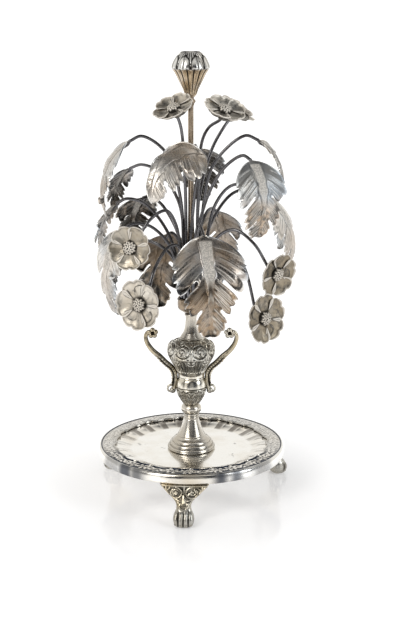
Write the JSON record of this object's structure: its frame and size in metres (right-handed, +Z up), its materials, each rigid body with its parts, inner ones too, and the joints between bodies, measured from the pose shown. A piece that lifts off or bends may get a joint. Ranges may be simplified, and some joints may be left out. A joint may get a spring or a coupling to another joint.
{
  "type": "centrepiece vase",
  "caption": "Silver table centrepiece: a footed round tray, a small two-handled vase and a lift-out bouquet of wire stems with chased leaves and flowers.",
  "frame": {"origin": "middle of the footprint, on the surface that the three paws stand on", "axes": "+Z up along the vase, -Y towards the pictured front, +X to the viewer's right"},
  "size_m": [0.126, 0.1302, 0.2793],
  "materials": {
    "polished_silver": "mirror-polished silver with fine wear and grey tarnish in the joints",
    "chased_silver": "chased silver, bright on the high parts and dark in the recesses",
    "leaf_silver": "chased sheet silver, satin, with engraved veins and brown patina",
    "flower_silver": "pressed sheet silver, warm grey, dark patina in the folds",
    "dark_wire": "oxidised drawn wire, nearly black, with blue-grey highlights",
    "warm_rod": "tarnished silver with a warm straw tone"
  },
  "bodies": {
    "stand": {"tray_dish": "polished_silver", "tray_rim": "chased_silver", "foot_front": "chased_silver", "foot_rear_right": "chased_silver", "foot_rear_left": "chased_silver", "tray_nut": "polished_silver", "pedestal_foot": "polished_silver", "knop": "polished_silver", "vase_bowl": "chased_silver", "vase_shoulder": "chased_silver", "vase_neck": "polished_silver", "handle_left": "chased_silver", "handle_right": "chased_silver"},
    "bouquet": {"stem_cup": "polished_silver", "centre_rod": "warm_rod", "finial_bud": "warm_rod", "wire_leaf_front_low": "dark_wire", "leaf_front_low": "leaf_silver", "wire_leaf_front_high": "dark_wire", "leaf_front_high": "leaf_silver", "wire_leaf_left_high": "dark_wire", "leaf_left_high": "leaf_silver", "wire_leaf_left_mid": "dark_wire", "leaf_left_mid": "leaf_silver", "wire_leaf_left_low": "dark_wire", "leaf_left_low": "leaf_silver", "wire_leaf_rear_left_high": "dark_wire", "leaf_rear_left_high": "leaf_silver", "wire_leaf_rear_left_mid": "dark_wire", "leaf_rear_left_mid": "leaf_silver", "wire_leaf_rear_left_low": "dark_wire", "leaf_rear_left_low": "leaf_silver", "wire_leaf_rear_left_big": "dark_wire", "leaf_rear_left_big": "leaf_silver", "wire_leaf_rear_high": "dark_wire", "leaf_rear_high": "leaf_silver", "wire_leaf_rear_right_big": "dark_wire", "leaf_rear_right_big": "leaf_silver", "wire_leaf_rear_right_mid": "dark_wire", "leaf_rear_right_mid": "leaf_silver", "wire_leaf_right_high": "dark_wire", "leaf_right_high": "leaf_silver", "wire_leaf_right_low": "dark_wire", "leaf_right_low": "leaf_silver", "wire_leaf_right_front": "dark_wire", "leaf_right_front": "leaf_silver", "wire_flower_top_left": "dark_wire", "flower_top_left": "flower_silver", "wire_flower_top_right": "dark_wire", "flower_top_right": "flower_silver", "wire_flower_top_rear": "dark_wire", "flower_top_rear": "flower_silver", "wire_flower_left_mid": "dark_wire", "flower_left_mid": "flower_silver", "wire_flower_left_low": "dark_wire", "flower_left_low": "flower_silver", "wire_flower_right_mid": "dark_wire", "flower_right_mid": "flower_silver", "wire_flower_right_low": "dark_wire", "flower_right_low": "flower_silver"}
  },
  "joints": [
    {"name": "bouquet_lift", "type": "slide", "parent": "stand", "child": "bouquet", "axis": [0, 0, 1], "range_m": [0, 0.045]}
  ]
}
